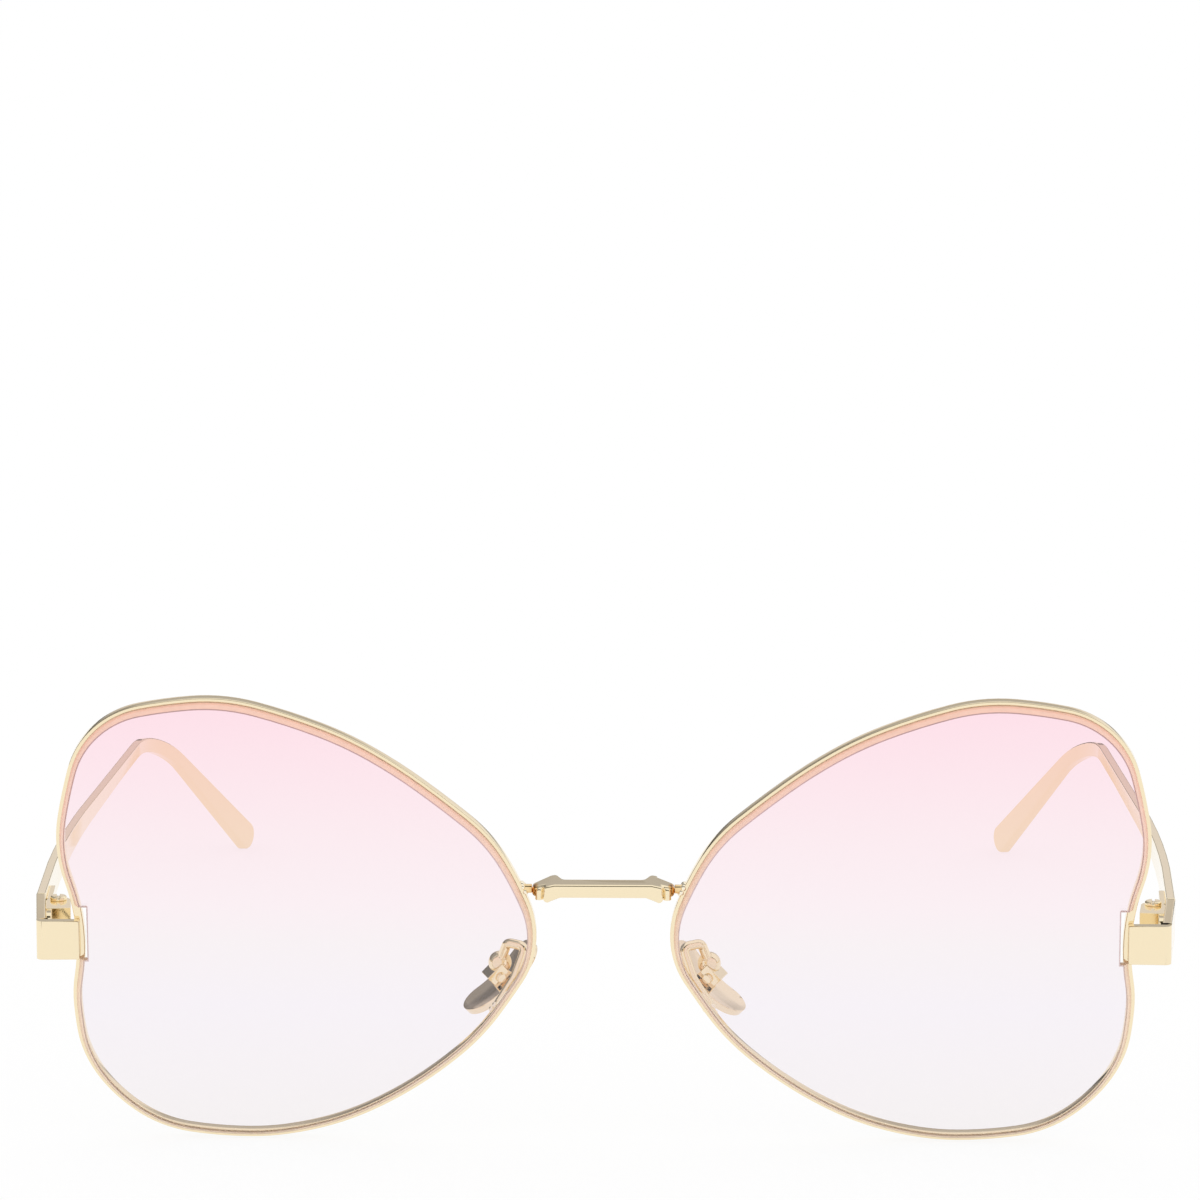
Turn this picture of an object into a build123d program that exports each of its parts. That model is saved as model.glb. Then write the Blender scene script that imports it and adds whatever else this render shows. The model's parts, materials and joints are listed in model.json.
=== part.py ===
from build123d import *
from math import atan2, cos, pi, radians, sin, sqrt, tan
import os

# Butterfly sunglasses, open, standing on the lower edges of the lenses and the ends of the temples.
# Millimetres. X runs to the viewer's right, Y from the lenses back along the temples, Z up.
# Pieces are drawn for the +X side and mirrored, and names say left and right as the viewer sees them.

# Lens, as the box round one lens seen square on
LENS_WIDTH = 57.5
LENS_HEIGHT = 56.1
LENS_GAP = 17.4
LENS_THICKNESS = 1.1
BEVEL_WIDTH = 0.75
BEVEL_DEPTH = 0.5
FRONT_LEAN = 5.8

# Rim, a flat wire hoop behind the edge of the lens
RIM_WIDTH = 1.05
RIM_DEPTH = 1.5
RIM_PROUD = 0.45

# Bridge bar between the rims: behind each end an ear bulges back and carries a stud and the post
BRIDGE_HEIGHT = 32.95
BRIDGE_TALL = 1.7
BRIDGE_DEPTH = 2.2
BRIDGE_SETBACK = 0.5
BRIDGE_FLARE = 0.7
BRIDGE_FLARE_LENGTH = 2.1
BRIDGE_CORNER = 0.5
EAR_LENGTH = 3.7
EAR_HUMP = 2.0
EAR_RECESS = 0.9
EAR_OVERHANG = 1.4
EAR_FALL = 0.6
EAR_ROUND = 0.7
STUD_RADIUS = 0.5
POST_LENGTH = 1.0
POST_RADIUS = 0.55

# End piece, a flat strap: a square plate in front and a leg that runs back to the hinge
STRAP_THICKNESS = 1.15
PLATE_WIDTH = 5.25
PLATE_HEIGHT = 5.0
PLATE_RISE = 25.65
PLATE_DEPTH = 12.1
LEG_HEIGHT = 5.3
LEG_SPLAY = 5.6
LEG_RISE = 0.3
STRAP_BEND_RADIUS = 0.8
NOTCH_CLEARANCE = 0.95
NOTCH_ABOVE = 1.85
NOTCH_BELOW = 0.05

# Hinge with three barrels round an upright screw
HINGE_HEIGHT = 3.6
BARREL_RADIUS = 1.5
BARREL_CLEARANCE = 0.1
BARREL_GAP = 0.05
HINGE_SCREW_RADIUS = 0.62
HINGE_SCREW_FIT = 0.05
HINGE_HEAD_RADIUS = 1.05
HINGE_HEAD_HEIGHT = 0.55
LEAF_THICKNESS = 0.7
LEAF_HEIGHT = 3.2
FRONT_LEAF_LENGTH = 5.0
KNUCKLE_LENGTH = 2.6
TEMPLE_LEAF_LENGTH = 7.5
JOINT_GAP = 0.06

# Temple, a flat strip that narrows to a neck, bends down and in, and ends in a paddle
TEMPLE_STRAIGHT = 106.0
TEMPLE_SLOPE = 2.5
TEMPLE_TOE_IN = 3.7
TEMPLE_BELLY = 0.85
NECK_HEIGHT = 2.0
BEND_RADIUS = 30.0
TIP_ANGLE = 35.5
PADDLE_RADIUS = 1.9
BOW_START = 12.0
BOW_RADIUS = 520.0
BOW_ANGLE = 5.3
PLAN_STRAIGHT = 104.0
PLAN_BEND_RADIUS = 45.0
PLAN_ANGLE = 16.9

# Nose pad: a curved metal plate with a stem, held by a screw in a box on a wire arm
PAD_LENGTH = 11.8
PAD_WIDTH = 5.8
PAD_THICKNESS = 0.9
PAD_CURVE_RADIUS = 18.0
PAD_INSET = 3.6
PAD_BACK = 9.5
PAD_RISE = 17.15
PAD_LENGTH_DIRECTION = Vector(-0.709, 0.273, 0.655)
PAD_OUTWARD_DIRECTION = Vector(0.642, -0.171, 0.747)
BOX_LENGTH = 2.5
BOX_SPAN = 2.9
BOX_HEIGHT = 1.8
BOX_LIFT = 0.4
BOX_ROOF = 0.4
STEM_LENGTH = 1.4
STEM_SPAN = 1.3
STEM_SIDE_GAP = 0.1
PAD_SCREW_RADIUS = 0.35
PAD_SCREW_FIT = 0.05
PAD_HEAD_RADIUS = 0.65
PAD_HEAD_HEIGHT = 0.4
ARM_RADIUS = 0.6
ARM_BEND_RADIUS = 1.0
ARM_FOOT_LENGTH = 0.25
BALL_RADIUS = 1.45
BALL_DROP = 0.25
LOOP_BACK = 6.6
LOOP_RISE = 5.75
LOOP_WIDTH = 2.35
LEG_OFFSET = 2.3

# One overrun serves every cut
CUT = 1.0

# Outline of the lens on the +X side as shares of its width and height, from the waist at the end
# piece up and round over the nose side: (0, 0) is the corner at the nose and the surface below
WAIST_SHARE = (0.966, 0.440)
ARM_FOOT_SHARE = (0.077, 0.286)
OUTLINE_SHARES = [
    WAIST_SHARE,
    (1.000, 0.735),
    (0.922, 0.936),
    (0.723, 1.000),
    (0.447, 0.940),
    (0.237, 0.815),
    (0.056, 0.632),
    (0.000, 0.445),
    ARM_FOOT_SHARE,
    (0.254, 0.118),
    (0.455, 0.022),
    (0.608, 0.000),
    (0.853, 0.060),
    (0.955, 0.190),
    (0.975, 0.300),
]

# Sizes that follow
INNER_EDGE = LENS_GAP / 2
WAIST_X = INNER_EDGE + WAIST_SHARE[0] * LENS_WIDTH
OUTER_X = WAIST_X + PLATE_WIDTH
PIN_INSET = BARREL_RADIUS + BARREL_CLEARANCE
PIN_X = OUTER_X - STRAP_THICKNESS - PIN_INSET
RIM_BACK = LENS_THICKNESS + RIM_DEPTH


def bearing(start, end):
    return atan2(end.Y - start.Y, end.X - start.X)


def turned_to(angle, reference):
    # The same direction, written within half a turn of the reference
    return reference + (angle - reference + pi) % (2 * pi) - pi


def unit(angle):
    return Vector(cos(angle), sin(angle))


def outline_joints():
    """Ends and directions of the tangent arcs through the outline: two arcs from point to point."""
    points = [Vector(INNER_EDGE + u * LENS_WIDTH, w * LENS_HEIGHT) for u, w in OUTLINE_SHARES]
    count = len(points)
    directions = []
    for i, here in enumerate(points):
        before = points[i - 1]
        after = points[(i + 1) % count]
        arriving = bearing(before, here)
        leaving = turned_to(bearing(here, after), arriving)
        across = turned_to(bearing(before, after), arriving)
        directions.append(unit(arriving + leaving - across))
    joints = []
    for i, start in enumerate(points):
        end = points[(i + 1) % count]
        out, into = directions[i], directions[(i + 1) % count]
        chord = end - start
        both = out + into
        spread = 2 * (1 - out.dot(into))
        reach = (sqrt(chord.dot(both) ** 2 + spread * chord.dot(chord)) - chord.dot(both)) / spread
        middle = (start + end + (out - into) * reach) * 0.5
        joints += [(start, out), (middle, (chord - both * reach).normalized())]
    return joints


OUTLINE = outline_joints()


def outline_face(offset):
    """Flat face inside the outline of the lens, moved outward by the offset, upright at depth 0."""
    ends = [(point + Vector(way.Y, -way.X) * offset, way) for point, way in OUTLINE]
    arcs = []
    for i, (start, way) in enumerate(ends):
        arcs.append(TangentArc(start, ends[(i + 1) % len(ends)][0], tangent=way))
    return Plane.XZ * make_face(arcs)


def backward(face, depth, start=0):
    """Solid that runs back from the face, in the frame of the front."""
    return Pos(0, start, 0) * extrude(face, depth, dir=(0, 1, 0))


def block(low, high):
    """Box between two corners."""
    size = Vector(*high) - Vector(*low)
    return Pos(*((Vector(*low) + Vector(*high)) * 0.5)) * Box(*size)


def leaned(piece):
    """Piece drawn square in the frame of the front, tipped forward about its lower edge."""
    return Rot(FRONT_LEAN, 0, 0) * piece


def leaned_point(x, depth, rise):
    lean = radians(FRONT_LEAN)
    return Vector(x, depth * cos(lean) - rise * sin(lean), depth * sin(lean) + rise * cos(lean))


def prism_x(points, low, high):
    """Solid between two X places with the given (Y, Z) outline."""
    face = Plane.YZ * make_face(Polyline(*points, close=True))
    return Pos(low, 0, 0) * extrude(face, high - low)


def rounded_path(points, radius):
    """Straight runs between the points, joined by tangent arcs."""
    edges = []
    start = points[0]
    for before, corner, after in zip(points, points[1:], points[2:]):
        back = (before - corner).normalized()
        ahead = (after - corner).normalized()
        half = back.get_angle(ahead) / 2
        trim = radius / tan(radians(half))
        middle_way = (back + ahead).normalized()
        to_middle = radius / sin(radians(half)) - radius
        arc_start, arc_end = corner + back * trim, corner + ahead * trim
        edges.append(Line(start, arc_start))
        edges.append(ThreePointArc(arc_start, corner + middle_way * to_middle, arc_end))
        start = arc_end
    edges.append(Line(start, points[-1]))
    return edges


# Lens and rim
def lens():
    body = backward(outline_face(0), LENS_THICKNESS)
    front = body.faces().sort_by(Axis.Y)[0]
    body = chamfer(front.edges(), BEVEL_DEPTH, BEVEL_WIDTH, reference=front.faces()[0])
    low = PLATE_RISE - PLATE_HEIGHT / 2 - NOTCH_BELOW
    high = PLATE_RISE + PLATE_HEIGHT / 2 + NOTCH_ABOVE
    notch = block(
        (WAIST_X - NOTCH_CLEARANCE, -CUT, low),
        (OUTER_X, LENS_THICKNESS + CUT, high),
    )
    return leaned(body - notch)


def rim():
    ring = outline_face(RIM_PROUD) - outline_face(RIM_PROUD - RIM_WIDTH)
    return leaned(backward(ring, RIM_DEPTH, LENS_THICKNESS))


# Bridge, whose length follows from the wall of the rim at its height
BRIDGE_BASE = BRIDGE_HEIGHT - BRIDGE_TALL
BRIDGE_MIDDLE = (BRIDGE_HEIGHT + BRIDGE_BASE) / 2
EAR_FRONT = BRIDGE_SETBACK + EAR_RECESS
EAR_BACK = BRIDGE_SETBACK + BRIDGE_DEPTH


def rim_wall_x(rise):
    """Where the outer wall of the rim crosses that rise on its nose side."""
    across = Line((0, 0, rise), (INNER_EDGE + LENS_WIDTH / 2, 0, rise))
    return (across & outline_face(RIM_PROUD)).bounding_box().min.X


EAR_X = rim_wall_x(BRIDGE_MIDDLE) - POST_LENGTH


BAR_END_X = EAR_X - EAR_OVERHANG
EAR_INNER_X = EAR_X - EAR_LENGTH
EAR_CREST_X = EAR_INNER_X + EAR_LENGTH / 4
EAR_TIP_BACK = EAR_BACK + EAR_HUMP / 4
EAR_TIP_HEIGHT = BRIDGE_HEIGHT - EAR_FALL


def bridge_ear():
    """Curved strap behind one end of the bar, which reaches out to the post."""
    root_x = EAR_INNER_X - EAR_LENGTH / 4
    plan = rounded_path(
        [
            Vector(root_x, EAR_BACK),
            Vector(EAR_INNER_X, EAR_BACK),
            Vector(EAR_CREST_X, EAR_BACK + EAR_HUMP),
            Vector(EAR_X, EAR_TIP_BACK),
        ],
        EAR_ROUND,
    )
    front = Polyline(
        (EAR_X, EAR_TIP_BACK), (EAR_X, EAR_FRONT), (root_x, EAR_FRONT), (root_x, EAR_BACK)
    )
    face = make_face([*plan, *front.edges()])
    return Pos(0, 0, BRIDGE_BASE) * extrude(face, BRIDGE_TALL, dir=(0, 0, 1))


def bridge_stud():
    """Upright round stud between the end of the bar and the post, with a domed top."""
    place = Pos(BAR_END_X + STUD_RADIUS, EAR_FRONT, 0)
    base = BRIDGE_BASE - BRIDGE_FLARE / 2
    top = EAR_TIP_HEIGHT - STUD_RADIUS
    stud = Pos(0, 0, base) * Cylinder(
        STUD_RADIUS, top - base, align=(Align.CENTER, Align.CENTER, Align.MIN)
    )
    return place * (stud + Pos(0, 0, top) * Sphere(STUD_RADIUS))


def bridge_bar():
    flat = BAR_END_X - BRIDGE_FLARE_LENGTH
    low = BRIDGE_BASE - BRIDGE_FLARE
    front = Polyline(
        (-BAR_END_X, low),
        (-flat, BRIDGE_BASE),
        (flat, BRIDGE_BASE),
        (BAR_END_X, low),
        (BAR_END_X, BRIDGE_HEIGHT),
        (-BAR_END_X, BRIDGE_HEIGHT),
        close=True,
    )
    face = make_face(front)
    face = fillet(face.vertices().sort_by(Axis.Y)[:2], BRIDGE_CORNER)
    bar = backward(Plane.XZ * face, BRIDGE_DEPTH, BRIDGE_SETBACK)
    # The top falls away over each ear, from its crest to the post
    fall = Polyline(
        (EAR_CREST_X, BRIDGE_HEIGHT),
        (EAR_X, EAR_TIP_HEIGHT),
        (EAR_X + CUT, BRIDGE_HEIGHT + CUT),
        (EAR_CREST_X, BRIDGE_HEIGHT + CUT),
        close=True,
    )
    wedge = backward(Plane.XZ * make_face(fall), BRIDGE_DEPTH + EAR_HUMP + CUT, BRIDGE_SETBACK)
    end = bridge_ear() + bridge_stud()
    bar += end + mirror(end, about=Plane.YZ)
    return leaned(bar - wedge - mirror(wedge, about=Plane.YZ))


def bridge_post():
    reach = POST_LENGTH + LENS_WIDTH / 3
    post = Cylinder(POST_RADIUS, reach, align=(Align.CENTER, Align.CENTER, Align.MIN))
    post = Pos(EAR_X, LENS_THICKNESS + RIM_DEPTH / 2, BRIDGE_MIDDLE) * Rot(0, 90, 0) * post
    # The post ends on the wall of the rim
    return leaned(post - backward(outline_face(RIM_PROUD), RIM_BACK))


# End piece
PLATE_MIDDLE = leaned_point(OUTER_X, 0, PLATE_RISE)
JOINT_Y = PLATE_MIDDLE.Y + PLATE_DEPTH
HINGE_Z = PLATE_MIDDLE.Z + LEG_RISE

# The legs splay outward from the corners of the plates, and carry the hinges and temples with them
TO_CORNER = Pos(-OUTER_X, -PLATE_MIDDLE.Y, 0)
SPLAY = TO_CORNER.inverse() * Rot(0, 0, -LEG_SPLAY) * TO_CORNER


def end_piece():
    low = PLATE_RISE - PLATE_HEIGHT / 2
    high = PLATE_RISE + PLATE_HEIGHT / 2
    plate = leaned(block((WAIST_X, 0, low), (OUTER_X + CUT, LENS_THICKNESS, high)))
    top = leaned_point(0, 0, high)
    bottom = leaned_point(0, 0, low)
    leg_front = STRAP_THICKNESS / 2
    leg_outline = [
        (top.Y + leg_front, top.Z),
        (JOINT_Y - JOINT_GAP, HINGE_Z + LEG_HEIGHT / 2),
        (JOINT_Y - JOINT_GAP, HINGE_Z - LEG_HEIGHT / 2),
        (bottom.Y + leg_front, bottom.Z),
    ]
    leg = prism_x(leg_outline, OUTER_X - STRAP_THICKNESS, OUTER_X)
    outside_front = PLATE_MIDDLE.Y - PLATE_HEIGHT / 2
    outside = block((OUTER_X, outside_front, low - CUT), (OUTER_X + 2 * CUT, JOINT_Y, high + CUT))
    strap = plate + SPLAY * leg - SPLAY * outside
    corner = strap.edges().filter_by(lambda edge: is_front_corner(edge, top, bottom))
    return fillet(corner, STRAP_BEND_RADIUS)


def is_front_corner(edge, top, bottom):
    # The upright edge where the plate turns into the leg
    middle = edge.center()
    near = (middle - Vector(OUTER_X, (top.Y + bottom.Y) / 2, (top.Z + bottom.Z) / 2)).length
    return near < STRAP_THICKNESS / 2 and edge.length > PLATE_HEIGHT / 2


# Hinge
BARREL_HEIGHT = (HINGE_HEIGHT - 2 * BARREL_GAP) / 3
HINGE_BASE = HINGE_Z - HINGE_HEIGHT / 2
BARREL_STARTS = [HINGE_BASE + i * (BARREL_HEIGHT + BARREL_GAP) for i in range(3)]
LEAF_START = BARREL_RADIUS + BARREL_CLEARANCE
FACE_X = PIN_X + PIN_INSET


def barrel(base, side, thickness):
    """One barrel with the web that joins it to its leaf: side is -1 in front of the pin, 1 behind."""
    ring = Pos(PIN_X, JOINT_Y, base) * Cylinder(
        BARREL_RADIUS, BARREL_HEIGHT, align=(Align.CENTER, Align.CENTER, Align.MIN)
    )
    ends = sorted((JOINT_Y + side * JOINT_GAP, JOINT_Y + side * LEAF_START))
    web = block((FACE_X - thickness, ends[0], base), (FACE_X, ends[1], base + BARREL_HEIGHT))
    return ring + web


def screw_bore(radius):
    reach = HINGE_HEIGHT + 2 * CUT
    return Pos(PIN_X, JOINT_Y, HINGE_Z) * Cylinder(radius, reach)


def leaf_plate(start, length, side):
    """Flat leaf against the inner face of the strap, with rounded corners at its free end."""
    ends = sorted((JOINT_Y + side * start, JOINT_Y + side * (start + length)))
    plate = block(
        (FACE_X - LEAF_THICKNESS, ends[0], HINGE_Z - LEAF_HEIGHT / 2),
        (FACE_X, ends[1], HINGE_Z + LEAF_HEIGHT / 2),
    )
    free = plate.edges().filter_by(Axis.X).sort_by(Axis.Y)
    return fillet(free[-2:] if side > 0 else free[:2], LEAF_HEIGHT / 3)


def hinge_front_leaf():
    # The barrels stand on a thick knuckle in front of the pin
    thickness = PIN_INSET + BARREL_RADIUS
    leaf = leaf_plate(LEAF_START, FRONT_LEAF_LENGTH, -1)
    leaf += block(
        (FACE_X - thickness, JOINT_Y - LEAF_START - KNUCKLE_LENGTH, HINGE_BASE),
        (FACE_X, JOINT_Y - LEAF_START, HINGE_BASE + HINGE_HEIGHT),
    )
    for i in (0, 2):
        leaf += barrel(BARREL_STARTS[i], -1, thickness)
    return SPLAY * (leaf - screw_bore(HINGE_SCREW_RADIUS + HINGE_SCREW_FIT))


def about_pin(piece, angle):
    return Pos(PIN_X, JOINT_Y, 0) * Rot(0, 0, angle) * Pos(-PIN_X, -JOINT_Y, 0) * piece


def hinge_temple_leaf():
    leaf = leaf_plate(LEAF_START, TEMPLE_LEAF_LENGTH, 1) + barrel(BARREL_STARTS[1], 1, LEAF_THICKNESS)
    leaf -= screw_bore(HINGE_SCREW_RADIUS + HINGE_SCREW_FIT)
    return SPLAY * about_pin(leaf, TEMPLE_TOE_IN)


def hinge_screw():
    top = HINGE_BASE + HINGE_HEIGHT
    shank = Pos(PIN_X, JOINT_Y, HINGE_Z) * Cylinder(HINGE_SCREW_RADIUS, HINGE_HEIGHT)
    head = Pos(PIN_X, JOINT_Y, top) * Cylinder(
        HINGE_HEAD_RADIUS, HINGE_HEAD_HEIGHT, align=(Align.CENTER, Align.CENTER, Align.MIN)
    )
    head = fillet(head.edges().sort_by(Axis.Z)[-1], HINGE_HEAD_HEIGHT / 2)
    slot = Pos(PIN_X, JOINT_Y, top + HINGE_HEAD_HEIGHT) * Box(
        HINGE_HEAD_RADIUS / 3, 2 * HINGE_HEAD_RADIUS + CUT, HINGE_HEAD_HEIGHT
    )
    return SPLAY * (shank + head - slot)


# Temple
def temple_side():
    """Side view of the temple as a (Y, Z) face, its paddle as low as the foot of the rim."""
    slope, tip = radians(-TEMPLE_SLOPE), radians(-TIP_ANGLE)
    along, up = unit(slope), unit(slope + pi / 2)
    tip_along, tip_up = unit(tip), unit(tip + pi / 2)
    half_up = unit((slope + tip) / 2 + pi / 2)
    top = Vector(JOINT_Y, HINGE_Z + LEG_HEIGHT / 2)
    bottom = Vector(JOINT_Y, HINGE_Z - LEG_HEIGHT / 2)
    bend_top = top + along * TEMPLE_STRAIGHT
    centre = bend_top - up * BEND_RADIUS
    under_radius = BEND_RADIUS - NECK_HEIGHT
    tip_top = centre + tip_up * BEND_RADIUS
    rim_foot = leaned_point(0, LENS_THICKNESS, -RIM_PROUD).Z
    tip_length = (tip_top.Y - rim_foot - PADDLE_RADIUS * (1 + tip_up.Y)) / -tip_along.Y
    end = tip_top + tip_along * tip_length - tip_up * PADDLE_RADIUS
    bend_under = centre + up * under_radius
    belly = (bottom + bend_under) * 0.5 + up * TEMPLE_BELLY
    edges = [
        Line(top - along * CUT, bend_top),
        ThreePointArc(bend_top, centre + half_up * BEND_RADIUS, tip_top),
        Line(tip_top, end + tip_up * PADDLE_RADIUS),
        ThreePointArc(
            end + tip_up * PADDLE_RADIUS, end + tip_along * PADDLE_RADIUS, end - tip_up * PADDLE_RADIUS
        ),
        Line(end - tip_up * PADDLE_RADIUS, centre + tip_up * under_radius),
        ThreePointArc(centre + tip_up * under_radius, centre + half_up * under_radius, bend_under),
        ThreePointArc(bend_under, belly, bottom),
        Line(bottom, bottom - along * CUT),
        Line(bottom - along * CUT, top - along * CUT),
    ]
    return make_face(edges), end.X + PADDLE_RADIUS


def plan_edges(inset, reach):
    """Long edges of the temple seen from above, that far inside its outer face, hinge to tip."""
    bow, turn = radians(BOW_ANGLE), radians(BOW_ANGLE + PLAN_ANGLE)
    bow_centre = Vector(OUTER_X - BOW_RADIUS, JOINT_Y + BOW_START)
    bow_radius = BOW_RADIUS - inset
    straight = PLAN_STRAIGHT - BOW_START - BOW_RADIUS * bow
    to_tip = unit(bow) * (BOW_RADIUS - PLAN_BEND_RADIUS) + unit(bow + pi / 2) * straight
    tip_centre = bow_centre + to_tip
    tip_radius = PLAN_BEND_RADIUS - inset
    bow_start, bow_end = (bow_centre + unit(angle) * bow_radius for angle in (0, bow))
    tip_start, tip_end = (tip_centre + unit(angle) * tip_radius for angle in (bow, turn))
    return [
        Line((OUTER_X - inset, JOINT_Y - CUT), bow_start),
        ThreePointArc(bow_start, bow_centre + unit(bow / 2) * bow_radius, bow_end),
        Line(bow_end, tip_start),
        ThreePointArc(tip_start, tip_centre + unit((bow + turn) / 2) * tip_radius, tip_end),
        Line(tip_end, tip_end + unit(turn + pi / 2) * reach),
    ]


def temple_plan(end_y):
    """Top view of the temple as an (X, Y) face: a slight bow, then the tip turned in to the head."""
    reach = end_y - JOINT_Y - PLAN_STRAIGHT
    outer, inner = plan_edges(0, reach), plan_edges(STRAP_THICKNESS, reach)
    ends = [Line(outer[0] @ 0, inner[0] @ 0), Line(outer[-1] @ 1, inner[-1] @ 1)]
    return make_face([*outer, *inner, *ends])


def temple():
    side_face, end_y = temple_side()
    side = extrude(Plane.YZ * side_face, OUTER_X + CUT)
    plan = Pos(0, 0, -CUT) * extrude(temple_plan(end_y), HINGE_Z + LEG_HEIGHT + CUT, dir=(0, 0, 1))
    # Its front end lies along the end of the leg
    ahead = block(
        (PIN_X, JOINT_Y - 2 * CUT, HINGE_Z - LEG_HEIGHT),
        (OUTER_X + CUT, JOINT_Y + JOINT_GAP, HINGE_Z + LEG_HEIGHT),
    )
    return SPLAY * (about_pin(side & plan, TEMPLE_TOE_IN) - ahead)


# Nose pad, drawn along its own length (local X), across it towards the front (local Y) and outward
PAD_MIDDLE = Vector(INNER_EDGE + PAD_INSET, PAD_BACK, PAD_RISE)
PAD_PLANE = Plane(origin=PAD_MIDDLE, x_dir=PAD_LENGTH_DIRECTION, z_dir=PAD_OUTWARD_DIRECTION)
BOX_BASE = PAD_THICKNESS / 2 + BOX_LIFT
BOX_TOP = BOX_BASE + BOX_HEIGHT
SLOT_SPAN = STEM_SPAN + 2 * STEM_SIDE_GAP
PAD_AXIS_HEIGHT = BOX_TOP - BOX_ROOF - STEM_SIDE_GAP - STEM_LENGTH / 2


def across_pad(radius, length):
    """Cylinder along the screw of the pad, centred on the stem."""
    return Pos(0, 0, PAD_AXIS_HEIGHT) * Rot(90, 0, 0) * Cylinder(radius, length)


def nose_pad():
    plate = extrude(SlotOverall(PAD_LENGTH, PAD_WIDTH), PAD_LENGTH, both=True)
    shell = Sphere(PAD_CURVE_RADIUS) - Sphere(PAD_CURVE_RADIUS - PAD_THICKNESS)
    plate &= Pos(0, 0, PAD_CURVE_RADIUS - PAD_THICKNESS / 2) * shell
    plate = plate.solids().sort_by(Axis.Z)[0]
    stem = Pos(0, 0, PAD_AXIS_HEIGHT / 2) * Box(STEM_LENGTH, STEM_SPAN, PAD_AXIS_HEIGHT)
    stem += across_pad(STEM_LENGTH / 2, STEM_SPAN)
    pad = plate + stem - across_pad(PAD_SCREW_RADIUS + PAD_SCREW_FIT, PAD_WIDTH)
    return leaned(PAD_PLANE * pad)


def pad_box():
    box = Pos(0, 0, (BOX_BASE + BOX_TOP) / 2) * Box(BOX_LENGTH, BOX_SPAN, BOX_HEIGHT)
    slot_top = BOX_TOP - BOX_ROOF
    slot = Pos(0, 0, slot_top - BOX_HEIGHT / 2) * Box(BOX_LENGTH + CUT, SLOT_SPAN, BOX_HEIGHT)
    box -= slot + across_pad(PAD_SCREW_RADIUS + PAD_SCREW_FIT, BOX_SPAN + CUT)
    return leaned(PAD_PLANE * box)


def pad_screw():
    head = Pos(0, BOX_SPAN / 2 + PAD_HEAD_HEIGHT / 2, PAD_AXIS_HEIGHT) * Rot(90, 0, 0)
    head *= Cylinder(PAD_HEAD_RADIUS, PAD_HEAD_HEIGHT)
    head = fillet(head.edges().sort_by(Axis.Y)[-1], PAD_HEAD_HEIGHT / 2)
    return leaned(PAD_PLANE * (across_pad(PAD_SCREW_RADIUS, BOX_SPAN) + head))


def pad_arm():
    point, way = OUTLINE[2 * OUTLINE_SHARES.index(ARM_FOOT_SHARE)]
    seat = point + Vector(way.Y, -way.X) * (RIM_PROUD - RIM_WIDTH / 2)
    foot = Vector(seat.X, RIM_BACK, seat.Y)
    ball_local = Vector(BOX_LENGTH / 2, 0, BOX_TOP - BALL_DROP)
    ball = PAD_PLANE.from_local_coords(ball_local)
    crown = PAD_RISE + LOOP_RISE
    points = [
        foot,
        foot + Vector(0, ARM_FOOT_LENGTH + ARM_BEND_RADIUS, 0),
        Vector(INNER_EDGE + LEG_OFFSET, (RIM_BACK + LOOP_BACK) / 2, (foot.Z + crown) / 2),
        Vector(ball.X - LOOP_WIDTH - ARM_BEND_RADIUS, LOOP_BACK, crown),
        Vector(ball.X - ARM_BEND_RADIUS, (LOOP_BACK + ball.Y) / 2, crown),
        ball,
    ]
    path = Wire(rounded_path(points, ARM_BEND_RADIUS))
    section = Plane(origin=foot, z_dir=(0, 1, 0)) * Circle(ARM_RADIUS)
    arm = sweep(section, path=path) + Pos(*ball) * Sphere(BALL_RADIUS)
    box_space = PAD_PLANE * (
        Pos(0, 0, BOX_TOP - BOX_HEIGHT / 2) * Box(BOX_LENGTH, BOX_SPAN, BOX_HEIGHT)
    )
    return leaned(arm - box_space)


# All pieces: those of one side are made twice, mirrored for the viewer's left
def all_pieces():
    sided = {
        "rim": rim,
        "lens": lens,
        "bridge_post": bridge_post,
        "end_piece": end_piece,
        "hinge_front_leaf": hinge_front_leaf,
        "hinge_temple_leaf": hinge_temple_leaf,
        "hinge_screw": hinge_screw,
        "temple": temple,
        "nose_pad": nose_pad,
        "pad_box": pad_box,
        "pad_screw": pad_screw,
        "pad_arm": pad_arm,
    }
    pieces = {"bridge_bar": bridge_bar()}
    for name, make in sided.items():
        right = make()
        pieces[f"{name}_right"] = right
        pieces[f"{name}_left"] = mirror(right, about=Plane.YZ)
    return pieces


def set_down(pieces):
    """The pair is set on Z = 0 and centred front to back on the origin."""
    boxes = [piece.bounding_box() for piece in pieces.values()]
    front = min(box.min.Y for box in boxes)
    rear = max(box.max.Y for box in boxes)
    shift = Vector(0, -(front + rear) / 2, -min(box.min.Z for box in boxes))
    return shift, {name: Pos(*shift) * piece for name, piece in pieces.items()}


def report(label, point):
    print(f"{label}: {point.X:.3f} {point.Y:.3f} {point.Z:.3f}")


if __name__ == "__main__":
    os.makedirs("parts", exist_ok=True)
    shift, placed = set_down(all_pieces())
    for name, piece in placed.items():
        export_step(piece, f"parts/{name}.step")
    report("shift", shift)
    report("temple hinge", (SPLAY * Pos(PIN_X, JOINT_Y, HINGE_Z)).position + shift)
    pad_axis = PAD_PLANE.from_local_coords(Vector(0, 0, PAD_AXIS_HEIGHT))
    report("pad hinge", leaned_point(*pad_axis) + shift)
    report("pad hinge axis", leaned_point(*PAD_PLANE.y_dir))
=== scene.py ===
import json
from math import atan2, pi, radians

import bmesh
import bpy
from mathutils import Matrix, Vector
from mathutils.bvhtree import BVHTree

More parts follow.
